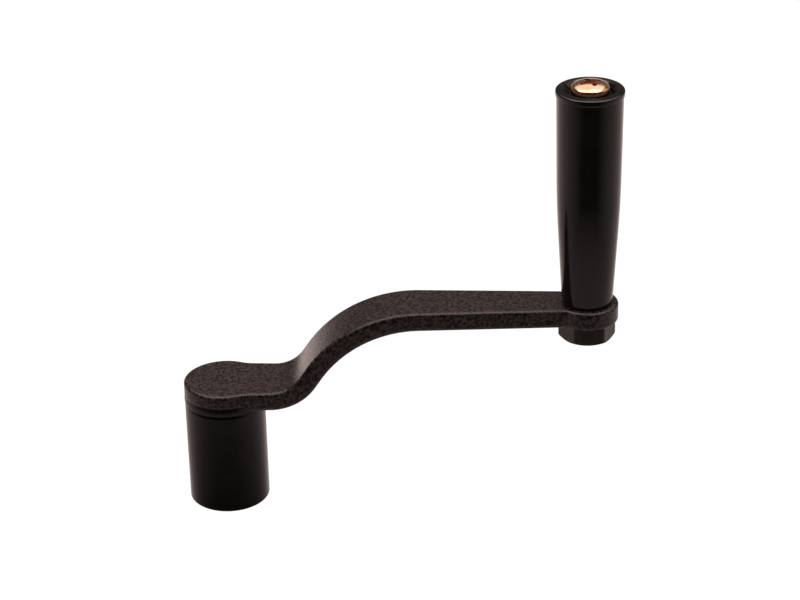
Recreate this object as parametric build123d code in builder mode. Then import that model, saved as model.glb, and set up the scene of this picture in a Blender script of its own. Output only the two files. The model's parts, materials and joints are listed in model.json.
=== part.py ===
from build123d import *
from math import radians, tan
import os

# Crank handle: a cranked flat steel arm with a round socket welded under its low end and a
# free-turning grip on its high end. Millimetres, +Z up. The origin is the centre of the socket's
# open mouth, the socket's axis is Z, and the arm runs towards +X.

# ---- Driving dimensions --------------------------------------------------------------------

crank_radius = 114.3          # socket axis to grip axis, 4 1/2 in
arm_rise = 26.6               # how far the S-bend lifts the grip end
arm_thickness = 5.9
arm_edge_round = 0.8

hub_radius = 12.7             # 1 in bar
hub_height = 35.7             # mouth to the underside of the arm
hub_edge_round = 0.8
bore_radius = 7.95            # takes a 5/8 in shaft

bar_half_width_at_hub = 11.3  # the bar tapers from the low eye
bar_half_width_at_grip = 7.0  # to the high eye
grip_eye_radius = 9.7
hub_neck_round = 12.0         # hollow corners where the bar meets each eye
grip_neck_round = 4.0

bend_angle = 56.0             # slope of the steep part of the S
lower_corner_x = 21.3         # where the low flat and the steep part would meet
lower_bend_radius = 11.2      # top face, hollow side
upper_bend_radius = 42.9      # top face, full side

weld_reach = 1.65             # weld bead above and below the seam, and into it
weld_toe_depth = 0.25         # the bead's edges lie this far inside the socket's surface
weld_crown = 0.12             # and its middle stands this far outside

set_screw_height = 12.0       # above the mouth, on the side away from the arm's face
set_screw_radius = 3.0        # M6
set_screw_length = 4.0
set_screw_clear = 0.35        # tip to bore, backed off
hex_key_flats = 3.0

spindle_radius = 5.0          # M10 thread in the arm, plain journal in the grip
spindle_head_flats = 15.75    # 16 mm hexagon, across flats
spindle_head_height = 6.0
spindle_corner_round = 1.3
spindle_bevel_inset = 0.3     # the 30 degree bevel under the head starts inside the flats
spindle_head_turn = 3.5       # degrees that the tightened hexagon stands off square
running_clearance = 0.08      # journal to grip, on the radius
end_clearance = 0.25          # grip to arm, and grip to screw head

grip_length = 70.75
grip_base_radius = 7.85
grip_waist_radius = 9.73      # where the taper gives way to the straighter part
grip_waist_height = 32.4
grip_top_radius = 10.15
grip_waist_blend = 400.0
rim_radius = 10.5             # slight rolled rim at the top
rim_height = 2.4
rim_flare_height = 0.7
rim_round = 1.5
base_round = 0.5
recess_radius = 7.1
recess_chamfer = 1.0
recess_depth = 2.6

screw_head_radius = 5.85      # M6 pan head
screw_side_height = 2.1
screw_dome_height = 2.1
screw_radius = 3.0
screw_length = 14.0
cross_span = 6.6              # cross recess, tip to tip
cross_width = 1.5
cross_depth = 2.7
cross_taper = 12.0

# ---- Worked-out values ---------------------------------------------------------------------

low_top = hub_height + arm_thickness              # top face of the low eye
high_top = low_top + arm_rise                     # top face of the high eye
upper_corner_x = lower_corner_x + arm_rise / tan(radians(bend_angle))
corner_shift = arm_thickness * tan(radians(bend_angle / 2))
arm_end_x = crank_radius + grip_eye_radius

grip_base = high_top + end_clearance
grip_top = grip_base + grip_length
recess_floor = grip_top - recess_depth
spindle_end = recess_floor + end_clearance        # the screw head seats here, clear of the grip
spindle_head_bottom = high_top - arm_thickness - spindle_head_height

grip_axis = Vector(crank_radius, 0, 0)
grip_plane = Plane(origin=grip_axis, x_dir=(1, 0, 0), z_dir=(0, -1, 0))

os.makedirs("parts", exist_ok=True)


def save(part, name):
    """Label a finished piece and write it."""
    part.label = name
    export_step(part, f"parts/{name}.step")


# ---- Weld bead: a ring that fills the V between arm and socket, proud in the middle ----------

with BuildPart() as weld_bead:
    with BuildSketch(Plane.XZ):
        with BuildLine():
            toe_radius = hub_radius - weld_toe_depth
            low_toe = (toe_radius, hub_height - weld_reach)
            high_toe = (toe_radius, hub_height + weld_reach)
            ThreePointArc(low_toe, (hub_radius + weld_crown, hub_height), high_toe)
            Polyline(high_toe, (toe_radius - weld_reach, hub_height), low_toe)
        make_face()
    revolve(axis=Axis.Z)
save(weld_bead.part, "weld_bead")

# ---- Arm: flat bar bent to an S, then trimmed to its tapered outline with two eyes -----------

with BuildPart() as arm:
    with BuildSketch(Plane.XZ):
        with BuildLine():
            top_line = FilletPolyline(
                (-hub_radius, low_top),
                (lower_corner_x, low_top),
                (upper_corner_x, high_top),
                (arm_end_x, high_top),
                radius=[lower_bend_radius, upper_bend_radius],
            )
            bottom_line = FilletPolyline(
                (-hub_radius, low_top - arm_thickness),
                (lower_corner_x + corner_shift, low_top - arm_thickness),
                (upper_corner_x + corner_shift, high_top - arm_thickness),
                (arm_end_x, high_top - arm_thickness),
                radius=[lower_bend_radius + arm_thickness, upper_bend_radius - arm_thickness],
            )
            Line(top_line @ 0, bottom_line @ 0)
            Line(top_line @ 1, bottom_line @ 1)
        make_face()
    extrude(amount=hub_radius, both=True)
    with BuildSketch():
        Polygon(
            (0, -bar_half_width_at_hub),
            (crank_radius, -bar_half_width_at_grip),
            (crank_radius, bar_half_width_at_grip),
            (0, bar_half_width_at_hub),
            align=None,
        )
        Circle(hub_radius)
        with Locations(grip_axis):
            Circle(grip_eye_radius)
        fillet(vertices().group_by(Axis.X)[0], radius=hub_neck_round)
        fillet(vertices().group_by(Axis.X)[-1], radius=grip_neck_round)
    extrude(amount=high_top, mode=Mode.INTERSECT)
    upright = arm.edges().filter_by(Axis.Z)
    fillet(arm.edges() - upright, radius=arm_edge_round)
    with Locations(grip_axis + Vector(0, 0, high_top)):
        Hole(spindle_radius)
    add(weld_bead.part, mode=Mode.SUBTRACT)
save(arm.part, "arm")

# ---- Hub: turned socket, open at the bottom --------------------------------------------------

set_screw_plane = Plane(origin=(0, hub_radius, set_screw_height), x_dir=(1, 0, 0), z_dir=(0, 1, 0))

with BuildPart() as hub:
    with BuildSketch():
        Circle(hub_radius)
        Circle(bore_radius, mode=Mode.SUBTRACT)
    extrude(amount=hub_height)
    mouth = hub.edges().filter_by(GeomType.CIRCLE).group_by(Axis.Z)[0].sort_by(SortBy.RADIUS)
    fillet(mouth[-1], radius=hub_edge_round)
    with BuildSketch(set_screw_plane):
        Circle(set_screw_radius)
    extrude(amount=-hub_radius, mode=Mode.SUBTRACT)
    add(weld_bead.part, mode=Mode.SUBTRACT)
save(hub.part, "hub")

# ---- Set screw: short socket screw in the back of the hub, run in just short of the bore ------

set_screw_tip = hub_radius - bore_radius - set_screw_clear

with BuildPart() as set_screw:
    with BuildSketch(set_screw_plane.offset(-set_screw_tip)):
        Circle(set_screw_radius)
    extrude(amount=set_screw_length)
    with BuildSketch(set_screw_plane.offset(set_screw_length - set_screw_tip)):
        RegularPolygon(hex_key_flats / 2, 6, major_radius=False)
    extrude(amount=-set_screw_length / 2, mode=Mode.SUBTRACT)
save(set_screw.part, "set_screw")

# ---- Spindle: hexagon head under the arm, threaded through it, plain journal for the grip -----

with BuildPart() as spindle:
    with BuildSketch(Plane(origin=grip_axis + Vector(0, 0, spindle_head_bottom))):
        RegularPolygon(spindle_head_flats / 2, 6, major_radius=False, rotation=spindle_head_turn)
        fillet(vertices(), radius=spindle_corner_round)
    extrude(amount=spindle_head_height)
    with BuildSketch(grip_plane):
        with BuildLine():
            reach = spindle_head_flats
            flat = spindle_head_flats / 2 - spindle_bevel_inset
            bevel_top = spindle_head_bottom + (reach - flat) * tan(radians(30))
            Polyline(
                (0, spindle_head_bottom),
                (flat, spindle_head_bottom),
                (reach, bevel_top),
                (reach, high_top),
                (0, high_top),
                close=True,
            )
        make_face()
    revolve(axis=Axis(grip_axis, (0, 0, 1)), mode=Mode.INTERSECT)
    with BuildSketch(Plane(origin=grip_axis + Vector(0, 0, high_top - arm_thickness))):
        Circle(spindle_radius)
    extrude(amount=spindle_end - high_top + arm_thickness)
    with Locations(grip_axis + Vector(0, 0, spindle_end)):
        Hole(screw_radius, depth=screw_length)
save(spindle.part, "spindle")

# ---- Grip: turned outline, bored for the journal, recessed for the screw head -----------------

with BuildPart() as grip:
    with BuildSketch(grip_plane):
        with BuildLine():
            outline = FilletPolyline(
                (grip_base_radius, grip_base),
                (grip_waist_radius, grip_base + grip_waist_height),
                (grip_top_radius, grip_top - rim_height),
                radius=grip_waist_blend,
            )
            rim = Polyline(
                outline @ 1,
                (rim_radius, grip_top - rim_height + rim_flare_height),
                (rim_radius, grip_top),
                (0, grip_top),
            )
            Polyline(rim @ 1, (0, grip_base), outline @ 0)
        make_face()
    revolve(axis=Axis(grip_axis, (0, 0, 1)))
    rings = grip.edges().filter_by(GeomType.CIRCLE)
    fillet(rings.group_by(Axis.Z)[-1], radius=rim_round)
    fillet(rings.group_by(Axis.Z)[0], radius=base_round)
    with Locations(grip_axis + Vector(0, 0, grip_top)):
        CounterBoreHole(
            radius=spindle_radius + running_clearance,
            counter_bore_radius=recess_radius,
            counter_bore_depth=recess_depth,
        )
    lip = grip.edges().filter_by(GeomType.CIRCLE).group_by(Axis.Z)[-1].sort_by(SortBy.RADIUS)[0]
    chamfer(lip, length=recess_chamfer)
save(grip.part, "grip")

# ---- Grip screw: pan head with a cross recess, screwed into the spindle's end -----------------

with BuildPart() as grip_screw:
    with BuildSketch(grip_plane):
        with BuildLine():
            shoulder = spindle_end + screw_side_height
            crown = shoulder + screw_dome_height
            dome = EllipticalCenterArc(
                (0, shoulder), screw_head_radius, screw_dome_height, arc_size=90
            )
            Polyline(
                (0, crown),
                (0, spindle_end - screw_length),
                (screw_radius, spindle_end - screw_length),
                (screw_radius, spindle_end),
                (screw_head_radius, spindle_end),
                dome @ 0,
            )
        make_face()
    revolve(axis=Axis(grip_axis, (0, 0, 1)))
    with BuildSketch(Plane(origin=grip_axis + Vector(0, 0, crown), x_dir=(2, 1, 0))):
        Rectangle(cross_span, cross_width)
        Rectangle(cross_width, cross_span)
    extrude(amount=-cross_depth, taper=cross_taper, mode=Mode.SUBTRACT)
save(grip_screw.part, "grip_screw")
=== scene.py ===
import json
import math

import bpy
from mathutils import Matrix, Vector


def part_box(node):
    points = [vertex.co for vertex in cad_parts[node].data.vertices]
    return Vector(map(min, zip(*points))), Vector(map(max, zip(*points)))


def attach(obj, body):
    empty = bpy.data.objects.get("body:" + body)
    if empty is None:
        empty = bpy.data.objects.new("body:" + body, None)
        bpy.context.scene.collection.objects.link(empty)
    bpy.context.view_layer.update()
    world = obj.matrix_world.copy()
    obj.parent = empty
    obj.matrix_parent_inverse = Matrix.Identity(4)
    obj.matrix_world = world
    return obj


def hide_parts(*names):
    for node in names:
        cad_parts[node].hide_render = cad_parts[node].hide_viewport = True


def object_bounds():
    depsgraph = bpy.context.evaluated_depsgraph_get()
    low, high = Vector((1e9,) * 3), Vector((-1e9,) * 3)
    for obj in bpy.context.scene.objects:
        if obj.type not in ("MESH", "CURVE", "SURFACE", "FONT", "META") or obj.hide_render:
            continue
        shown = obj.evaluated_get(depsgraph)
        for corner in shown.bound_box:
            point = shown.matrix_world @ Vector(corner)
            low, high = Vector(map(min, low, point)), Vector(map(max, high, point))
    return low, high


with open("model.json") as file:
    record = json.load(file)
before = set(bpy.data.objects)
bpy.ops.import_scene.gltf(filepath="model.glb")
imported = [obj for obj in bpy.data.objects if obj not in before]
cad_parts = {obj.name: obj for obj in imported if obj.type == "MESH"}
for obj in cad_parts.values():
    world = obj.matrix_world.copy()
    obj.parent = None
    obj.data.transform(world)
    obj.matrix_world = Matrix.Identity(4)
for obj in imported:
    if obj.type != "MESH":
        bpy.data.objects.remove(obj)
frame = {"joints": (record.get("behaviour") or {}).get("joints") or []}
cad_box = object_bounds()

# Crank handle in a plain white studio, in the CAD model's frame: the socket stands on the origin,
# the arm runs towards +X and the grip stands along +Z. Lengths are in metres, and those of the
# object's details are written in mm and multiplied by MM.

MM = 0.001

# ---- View: the photograph's ---------------------------------------------------------------------

CAMERA_TARGET = Vector((56.26, 0.0, 68.9)) * MM
CAMERA_DISTANCE = 776.7 * MM
CAMERA_AZIMUTH = math.radians(-1.88)
CAMERA_ELEVATION = math.radians(26.48)
CAMERA_ROLL = math.radians(-1.29)
CAMERA_LENS = 112.5
SENSOR_WIDTH = 36.0

# ---- Studio -------------------------------------------------------------------------------------

WHITE = (1.0, 1.0, 1.0, 1.0)

FLOOR_DROP = 250 * MM           # from the object's underside down to the floor
FLOOR_SIZE = 8.0
FLOOR_COLOUR = (0.9, 0.9, 0.9, 1.0)
FLOOR_GLOW = 1.1                # strength of the white that the camera sees
FLOOR_SHADOW_SHARE = 0.15       # how much of the lit floor shows through it near the object
FLOOR_FADE = (0.5, 1.2)         # that share falls to nothing between these distances

# How bright the studio looks in a reflection, as (place, level) stops. Depth runs from the dark
# camera end (0) through the sides (0.5) to the white backdrop (1), and height from straight down
# (0) through the horizon (0.5) to overhead (1), where the room is dim. The two levels are
# multiplied. The white table, seen only low down, is the least that shows there.
STUDIO_DEPTH = (
    (0.0, 0.012),
    (0.09, 0.03),
    (0.2, 0.2),
    (0.33, 0.34),
    (0.5, 0.44),
    (0.8, 0.64),
    (0.93, 1.0),
    (1.0, 1.1),
)
STUDIO_HEIGHT = (
    (0.0, 0.9),
    (0.28, 0.95),
    (0.35, 1.5),
    (0.41, 1.5),
    (0.47, 0.35),
    (0.52, 0.13),
    (1.0, 0.13),
)
STUDIO_TABLE = ((0.0, 0.38), (0.23, 0.38), (0.262, 0.0), (1.0, 0.0))
STUDIO_FILL = 0.12              # an even light on whatever isn't a reflection

# The photograph's highlights are slightly pink, and so are the studio and its lamps.
STUDIO_TINT = (1.0, 0.82, 0.78, 1.0)
LAMP_TINT = (1.0, 0.85, 0.81)

# name, place, the point that it faces, width and depth, watts
LAMPS = (
    ("overhead_box", (0.0, -0.1, 1.2), (0.0, -0.1, 0.0), (2.0, 0.7), 18.0),
    ("back_box", (0.0, 0.8, 1.2), (0.0, 0.8, 0.0), (2.0, 1.1), 9.5),
    ("side_box", (1.25, 0.35, 1.0), (0.1, 0.0, 0.1), (1.0, 1.2), 2.6),
)

# ---- Details of the finishes --------------------------------------------------------------------

weld_low, weld_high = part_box("weld_bead")

WELD_TOES = (weld_low.z, weld_high.z - 0.35 * MM)   # heights of the creases beside the weld, which get painted shade
WELD_TOE_REACH = 0.55 * MM      # half the width of a crease's painted shade
WELD_TOE_CORE = 1.8             # more than 1 keeps its middle at full depth
WELD_TOE_SHADE_DEPTH = 0.88           # how dark the painted shade is, from 0 to 1
WELD_TOE_FADE = (5.0 * MM, 9.5 * MM)    # the painted shade runs out between these places along the arm
SOCKET_REACH = 13.3 * MM        # just past the socket's wall

COAT_SOFTENING = 1.6 * MM       # how far the arm's edges look rounded
HUB_SHADE_HEIGHT = 32.0 * MM      # painted shade darkens the hub from here down to its mouth
HUB_SHADE_METAL = 0.75                  # how metallic the coat is there, which takes its gloss away as painted shade

# colour of the painted shade in the weld's creases
CREASE_SHADE_COLOUR = (0.0004, 0.0003, 0.0003, 1.0)

# ---- Grip: the CAD grip's sizes, in mm, with a crisper rim --------------------------------------

BORE_RADIUS = 5.08
BASE_RADIUS = 7.85
BASE_ROUND = 0.5
WAIST_RADIUS = 9.73
WAIST_HEIGHT = 32.4
WAIST_BLEND = 400.0
NECK_RADIUS = 10.17
RIM_RADIUS = 10.5
RIM_DROP = 0.45                 # the photograph's rim is this much lower than the CAD grip's
RIM_STEP = (2.0, 1.7)           # depths below the top between which the neck widens to the rim
RIM_STEP_ROUND = 0.3
RIM_FALL = 0.2                  # the top slopes down by this to the rim's edge
RIM_ROUND = 0.6
LIP_RADIUS = 8.1                # where the top dips into the recess
LIP_ROUND = 0.25
RECESS_RADIUS = 7.1
RECESS_MOUTH = 1.0              # depth of the slope at the recess's mouth
RECESS_MOUTH_ROUND = 0.15
RECESS_DEPTH = 2.6              # below the CAD grip's top
RECESS_FLOOR_ROUND = 0.2

ROUND_STEPS = 8                 # faces across one round
TURN_STEPS = 96                 # and about the axis
SHARP_ANGLE = math.radians(32)


# ---- Node helpers -------------------------------------------------------------------------------

class Nodes:
    """Short-hand for building one node tree."""

    def __init__(self, tree):
        self.tree = tree
        tree.nodes.clear()

    def add(self, kind, inputs=None, **settings):
        node = self.tree.nodes.new(kind)
        for name, value in settings.items():
            setattr(node, name, value)
        for key, value in (inputs or {}).items():
            if isinstance(value, bpy.types.NodeSocket):
                self.tree.links.new(value, node.inputs[key])
            else:
                node.inputs[key].default_value = value
        return node

    def math(self, operation, a, b=0.0, clamp=False):
        node = self.add("ShaderNodeMath", {0: a, 1: b}, operation=operation, use_clamp=clamp)
        return node.outputs[0]

    def fall(self, value, start, end):
        """1 up to start, then falling evenly to 0 at end."""
        left = self.math("SUBTRACT", end, value)
        return self.math("DIVIDE", left, end - start, clamp=True)

    def axes(self, vector):
        return self.add("ShaderNodeSeparateXYZ", {0: vector}).outputs

    def length(self, vector):
        node = self.add("ShaderNodeVectorMath", {0: vector}, operation="LENGTH")
        return node.outputs["Value"]

    def ramp(self, value, stops):
        node = self.add("ShaderNodeValToRGB", {0: value})
        node.color_ramp.interpolation = "LINEAR"
        elements = node.color_ramp.elements
        while len(elements) < len(stops):
            elements.new(0.5)
        for element, (place, level) in zip(elements, stops):
            element.position = place
            element.color = level if isinstance(level, tuple) else (level, level, level, 1.0)
        return node.outputs[0]

    def mix(self, share, first, second):
        """The first colour, giving way to the second as share goes from 0 to 1."""
        node = self.add("ShaderNodeMix", {0: share, 6: first, 7: second}, data_type="RGBA")
        return node.outputs[2]

    def mix_shader(self, share, first, second):
        return self.add("ShaderNodeMixShader", {0: share, 1: first, 2: second}).outputs[0]

    def background(self, colour, strength):
        inputs = {"Color": colour, "Strength": strength}
        return self.add("ShaderNodeBackground", inputs).outputs[0]

    def noise(self, where, size_mm, detail=2.0, roughness=0.5):
        inputs = {
            "Vector": where,
            "Scale": 1 / (size_mm * MM),
            "Detail": detail,
            "Roughness": roughness,
        }
        return self.add("ShaderNodeTexNoise", inputs).outputs["Fac"]

    def bump(self, height, depth_mm, normal=None):
        inputs = {"Height": height, "Distance": depth_mm * MM, "Strength": 1.0}
        if normal is not None:
            inputs["Normal"] = normal
        return self.add("ShaderNodeBump", inputs).outputs[0]


def new_material(name):
    material = bpy.data.materials.new(name)
    material.use_nodes = True
    nodes = Nodes(material.node_tree)
    place = nodes.add("ShaderNodeTexCoord").outputs["Object"]
    return material, nodes, place


def finish_material(nodes, colour, roughness, normal, metal=0.0, specular=0.5):
    inputs = {
        "Base Color": colour,
        "Roughness": roughness,
        "Metallic": metal,
        "Normal": normal,
        "Specular IOR Level": specular,
    }
    shader = nodes.add("ShaderNodeBsdfPrincipled", inputs)
    nodes.add("ShaderNodeOutputMaterial", {"Surface": shader.outputs[0]})


# ---- Finishes -----------------------------------------------------------------------------------

def weld_toe_shade_mask(nodes, place):
    """Painted shade: full in the two creases beside the weld, falling to 0 away from them."""
    height = nodes.axes(place)["Z"]
    masks = []
    for toe in WELD_TOES:
        gap = nodes.math("ABSOLUTE", nodes.math("SUBTRACT", height, toe))
        masks.append(nodes.fall(gap, 0.0, WELD_TOE_REACH))
    near = nodes.math("MULTIPLY", nodes.math("MAXIMUM", *masks), WELD_TOE_CORE, clamp=True)
    kept = nodes.fall(nodes.axes(place)["X"], *WELD_TOE_FADE)
    return nodes.math("MULTIPLY", near, nodes.math("MULTIPLY", kept, WELD_TOE_SHADE_DEPTH))


def socket_mask(nodes, place):
    """1 within the socket's outline, seen from above, and 0 along the rest of the arm."""
    inputs = {0: place, 1: (1.0, 1.0, 0.0)}
    flat = nodes.add("ShaderNodeVectorMath", inputs, operation="MULTIPLY").outputs[0]
    return nodes.math("LESS_THAN", nodes.length(flat), SOCKET_REACH)


def textured_coat():
    """Fine-textured brownish-black powder coat of the arm."""
    pit, peak = (0.003, 0.0022, 0.0020, 1), (0.056, 0.040, 0.036, 1)
    haze = (0.014, 0.0115, 0.011, 1)
    haze_share = 0.3
    material, nodes, place = new_material("textured_black_coat")
    grain = nodes.noise(place, size_mm=0.9)
    fine = nodes.noise(place, size_mm=0.35, detail=1.0)
    cloud = nodes.noise(place, size_mm=9.0)
    speckle = nodes.ramp(grain, ((0.40, pit), (0.68, peak)))
    tone = nodes.mix(nodes.math("MULTIPLY", cloud, haze_share), speckle, haze)
    # painted shade in the weld's creases: darker colour, and made metal so that it loses its gloss
    creases = nodes.math("MULTIPLY", weld_toe_shade_mask(nodes, place), socket_mask(nodes, place))
    colour = nodes.mix(creases, tone, CREASE_SHADE_COLOUR)
    rough = nodes.ramp(grain, ((0.4, 0.27), (0.6, 0.33)))
    soft = nodes.add("ShaderNodeBevel", {"Radius": COAT_SOFTENING}, samples=8).outputs[0]
    normal = nodes.bump(grain, depth_mm=0.09, normal=soft)
    normal = nodes.bump(fine, depth_mm=0.015, normal=normal)
    finish_material(nodes, colour, rough, normal, metal=creases, specular=0.42)
    return material


def satin_coat():
    """Smoother black coat of the socket and the weld, with a slight orange peel. It has painted
    shade in the creases and towards the socket's mouth, given as metal, since so dark a colour
    reflects little."""
    darker, lighter = (0.0045, 0.0040, 0.0037, 1), (0.0070, 0.0062, 0.0057, 1)
    material, nodes, place = new_material("satin_black_coat")
    peel = nodes.noise(place, size_mm=1.1, detail=1.0)
    cloud = nodes.noise(place, size_mm=7.0)
    # painted shade in the weld's creases
    toe_shade = weld_toe_shade_mask(nodes, place)
    coat = nodes.ramp(cloud, ((0.3, darker), (0.7, lighter)))
    colour = nodes.mix(toe_shade, coat, CREASE_SHADE_COLOUR)
    # painted shade towards the socket's mouth, as metal that takes the gloss away
    rise = nodes.math("DIVIDE", nodes.axes(place)["Z"], HUB_SHADE_HEIGHT, clamp=True)
    shade_metal = nodes.math("MAXIMUM", toe_shade, nodes.ramp(rise, ((0.0, HUB_SHADE_METAL), (1.0, 0.0))))
    rough = nodes.ramp(cloud, ((0.3, 0.20), (0.7, 0.26)))
    normal = nodes.bump(peel, depth_mm=0.012)
    finish_material(nodes, colour, rough, normal, metal=shade_metal, specular=0.32)
    return material


def black_oxide():
    """Dull black steel of the hexagon and the set screw."""
    darker, lighter = (0.010, 0.0075, 0.006, 1), (0.026, 0.020, 0.016, 1)
    material, nodes, place = new_material("black_oxide")
    blotch = nodes.noise(place, size_mm=1.6, detail=3.0, roughness=0.6)
    tone = nodes.ramp(blotch, ((0.3, darker), (0.7, lighter)))
    rough = nodes.ramp(blotch, ((0.3, 0.30), (0.7, 0.46)))
    normal = nodes.bump(blotch, depth_mm=0.02)
    finish_material(nodes, tone, rough, normal, metal=0.05, specular=0.4)
    return material


def black_plastic():
    """Semi-gloss moulded plastic of the grip."""
    darker, lighter = (0.0022, 0.0019, 0.0018, 1), (0.0036, 0.0031, 0.0028, 1)
    material, nodes, place = new_material("black_plastic")
    ripple = nodes.noise(place, size_mm=6.0, detail=1.0)
    tone = nodes.ramp(ripple, ((0.3, darker), (0.7, lighter)))
    rough = nodes.ramp(ripple, ((0.3, 0.13), (0.7, 0.18)))
    finish_material(nodes, tone, rough, nodes.bump(ripple, depth_mm=0.015))
    return material


def yellow_zinc():
    """Bright yellow zinc plate of the screw, with the faint colour play that it has."""
    amber, straw, rose = (0.74, 0.39, 0.19, 1), (0.84, 0.55, 0.36, 1), (0.80, 0.50, 0.37, 1)
    material, nodes, place = new_material("yellow_zinc")
    patch = nodes.noise(place, size_mm=2.2)
    tone = nodes.ramp(patch, ((0.3, amber), (0.55, straw), (0.75, rose)))
    rough = nodes.ramp(patch, ((0.3, 0.14), (0.7, 0.24)))
    finish_material(nodes, tone, rough, nodes.bump(patch, depth_mm=0.02), metal=1.0)
    return material


def dress(finish, *names):
    """Gives CAD nodes a finish."""
    for name in names:
        node = bpy.data.objects[name]
        node.data.materials.clear()
        node.data.materials.append(finish)


dress(textured_coat(), "arm")
dress(satin_coat(), "hub", "weld_bead")
dress(black_oxide(), "spindle", "set_screw")
dress(yellow_zinc(), "grip_screw")


# ---- Grip ---------------------------------------------------------------------------------------

def grip_outline(base, cad_top):
    """Radius, height and round of each corner in mm, from the bottom of the bore outwards."""
    top = cad_top - RIM_DROP
    step_low, step_high = (top - depth for depth in RIM_STEP)
    recess_floor = cad_top - RECESS_DEPTH
    return (
        (BORE_RADIUS, base, 0.0),
        (BASE_RADIUS, base, BASE_ROUND),
        (WAIST_RADIUS, base + WAIST_HEIGHT, WAIST_BLEND),
        (NECK_RADIUS, step_low, RIM_STEP_ROUND),
        (RIM_RADIUS, step_high, RIM_STEP_ROUND),
        (RIM_RADIUS, top - RIM_FALL, RIM_ROUND),
        (LIP_RADIUS, top, LIP_ROUND),
        (RECESS_RADIUS, top - RECESS_MOUTH, RECESS_MOUTH_ROUND),
        (RECESS_RADIUS, recess_floor, RECESS_FLOOR_ROUND),
        (BORE_RADIUS, recess_floor, 0.0),
    )


def rounded(corners):
    """A closed outline through the corners, each replaced by an arc where it has a round."""
    points = []
    for i, (x, y, radius) in enumerate(corners):
        corner = Vector((x, y))
        if not radius:
            points.append(corner)
            continue
        back = (Vector(corners[i - 1][:2]) - corner).normalized()
        ahead = (Vector(corners[(i + 1) % len(corners)][:2]) - corner).normalized()
        half = back.angle(ahead) / 2
        centre = corner + (back + ahead).normalized() * radius / math.sin(half)
        start = corner + back * radius / math.tan(half) - centre
        sweep = (corner + ahead * radius / math.tan(half) - centre).angle_signed(start)
        for step in range(ROUND_STEPS + 1):
            turned = start.copy()
            turned.rotate(Matrix.Rotation(sweep * step / ROUND_STEPS, 2))
            points.append(centre + turned)
    return points


def turn_grip():
    """The moulded sleeve, turned about the joint that the CAD grip spins on."""
    axis_x, axis_y, base = (value / MM for value in frame["joints"][0]["pos_m"])
    outline = rounded(grip_outline(base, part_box("grip")[1].z / MM))
    count = len(outline)
    verts, faces = [], []
    for turn in range(TURN_STEPS):
        angle = 2 * math.pi * turn / TURN_STEPS
        for radius, height in outline:
            x = axis_x + radius * math.cos(angle)
            y = axis_y + radius * math.sin(angle)
            verts.append((x * MM, y * MM, height * MM))
        here, following = turn * count, (turn + 1) % TURN_STEPS * count
        for i in range(count):
            j = (i + 1) % count
            faces.append((here + i, following + i, following + j, here + j))
    mesh = bpy.data.meshes.new("grip_sleeve")
    mesh.from_pydata(verts, [], faces)
    mesh.validate()
    mesh.shade_smooth()
    mesh.set_sharp_from_angle(angle=SHARP_ANGLE)
    mesh.materials.append(black_plastic())
    sleeve = bpy.data.objects.new("grip_sleeve", mesh)
    bpy.context.collection.objects.link(sleeve)
    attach(sleeve, "turning_grip")
    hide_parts("grip")


turn_grip()


# ---- Floor, world and lamps ---------------------------------------------------------------------

def white_seen_directly(nodes, place, lit):
    """White for the camera apart from a share that keeps shadows near the object; clear to
    reflections and from below."""
    light = nodes.add("ShaderNodeLightPath").outputs
    inputs = {"Color": WHITE, "Strength": FLOOR_GLOW}
    white = nodes.add("ShaderNodeEmission", inputs).outputs[0]
    clear = nodes.add("ShaderNodeBsdfTransparent").outputs[0]
    near = nodes.fall(nodes.length(place), *FLOOR_FADE)
    plain = nodes.math("SUBTRACT", 1.0, nodes.math("MULTIPLY", near, FLOOR_SHADOW_SHARE))
    direct = nodes.math("MULTIPLY", light["Is Camera Ray"], plain)
    below = nodes.add("ShaderNodeNewGeometry").outputs["Backfacing"]
    passing = nodes.math("ADD", light["Is Glossy Ray"], light["Is Transmission Ray"])
    hidden = nodes.math("ADD", passing, below, clamp=True)
    return nodes.mix_shader(hidden, nodes.mix_shader(direct, lit, white), clear)


def make_floor():
    half = FLOOR_SIZE / 2
    mesh = bpy.data.meshes.new("floor")
    corners = [(-half, -half, 0), (half, -half, 0), (half, half, 0), (-half, half, 0)]
    mesh.from_pydata(corners, [], [(0, 1, 2, 3)])
    floor = bpy.data.objects.new("floor", mesh)
    floor.location.z = cad_box[0].z - FLOOR_DROP
    bpy.context.collection.objects.link(floor)
    material, nodes, place = new_material("floor_white")
    lit = nodes.add("ShaderNodeBsdfDiffuse", {"Color": FLOOR_COLOUR}).outputs[0]
    surface = white_seen_directly(nodes, place, lit)
    nodes.add("ShaderNodeOutputMaterial", {"Surface": surface})
    mesh.materials.append(material)


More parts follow.
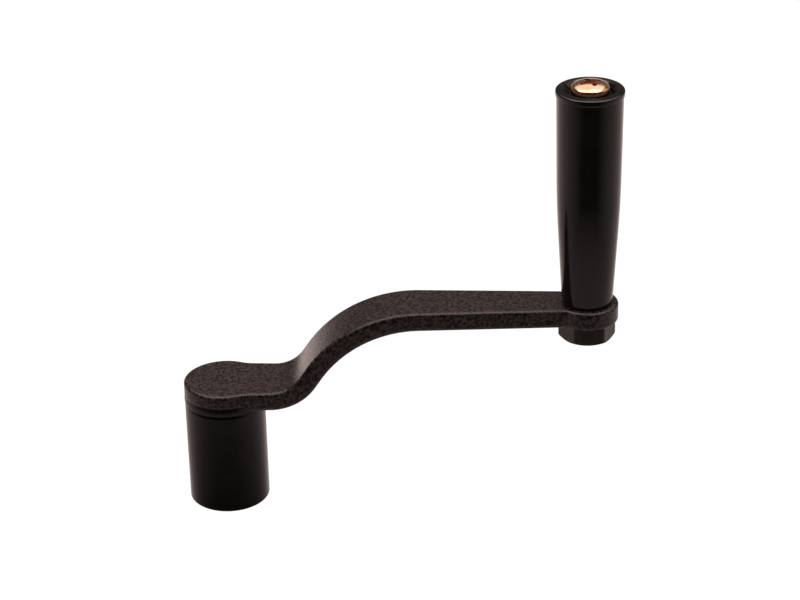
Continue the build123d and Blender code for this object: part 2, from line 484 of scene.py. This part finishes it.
def make_world():
    """White to the eye, a studio with a dark front in reflections, and an even soft fill."""
    world = bpy.data.worlds.new("studio")
    bpy.context.scene.world = world
    world.use_nodes = True
    nodes = Nodes(world.node_tree)
    light = nodes.add("ShaderNodeLightPath").outputs
    way = nodes.axes(nodes.add("ShaderNodeTexCoord").outputs["Generated"])
    depth = nodes.math("MULTIPLY", nodes.math("ADD", way["Y"], 1.0), 0.5)
    height = nodes.math("MULTIPLY", nodes.math("ADD", way["Z"], 1.0), 0.5)
    room_depth = nodes.ramp(depth, STUDIO_DEPTH)
    room_height = nodes.ramp(height, STUDIO_HEIGHT)
    room = nodes.math("MULTIPLY", room_depth, room_height)
    studio = nodes.math("MAXIMUM", room, nodes.ramp(height, STUDIO_TABLE))
    fill = nodes.background(STUDIO_TINT, STUDIO_FILL)
    mirror = nodes.background(STUDIO_TINT, studio)
    white = nodes.background(WHITE, 1.0)
    clear = nodes.math("ADD", light["Is Camera Ray"], light["Is Transmission Ray"], clamp=True)
    unseen = nodes.mix_shader(light["Is Glossy Ray"], fill, mirror)
    nodes.add("ShaderNodeOutputWorld", {"Surface": nodes.mix_shader(clear, unseen, white)})


def soft_box(name, place, aim, size, watts):
    lamp = bpy.data.lights.new(name, "AREA")
    lamp.shape = "RECTANGLE"
    lamp.size, lamp.size_y = size
    lamp.energy = watts
    lamp.color = LAMP_TINT
    item = bpy.data.objects.new(name, lamp)
    item.location = place
    item.rotation_mode = "QUATERNION"
    item.rotation_quaternion = (Vector(aim) - Vector(place)).to_track_quat("-Z", "Y")
    bpy.context.collection.objects.link(item)


make_floor()
make_world()
for lamp_facts in LAMPS:
    soft_box(*lamp_facts)


# ---- Camera -------------------------------------------------------------------------------------

def make_camera():
    """Looks along +Y, turned by the azimuth, down by the elevation, then rolled."""
    flat = math.cos(CAMERA_ELEVATION)
    ahead = Vector((
        math.sin(CAMERA_AZIMUTH) * flat,
        math.cos(CAMERA_AZIMUTH) * flat,
        -math.sin(CAMERA_ELEVATION),
    ))
    right = Vector((math.cos(CAMERA_AZIMUTH), -math.sin(CAMERA_AZIMUTH), 0.0))
    up = right.cross(ahead)
    rolled_right = right * math.cos(CAMERA_ROLL) + up * math.sin(CAMERA_ROLL)
    rolled_up = up * math.cos(CAMERA_ROLL) - right * math.sin(CAMERA_ROLL)
    turn = Matrix((rolled_right, rolled_up, -ahead)).transposed().to_4x4()
    data = bpy.data.cameras.new("camera")
    data.sensor_width = SENSOR_WIDTH
    data.lens = CAMERA_LENS
    camera = bpy.data.objects.new("camera", data)
    camera.matrix_world = Matrix.Translation(CAMERA_TARGET - ahead * CAMERA_DISTANCE) @ turn
    bpy.context.collection.objects.link(camera)
    bpy.context.scene.camera = camera


make_camera()
bpy.context.scene.view_settings.view_transform = "Standard"
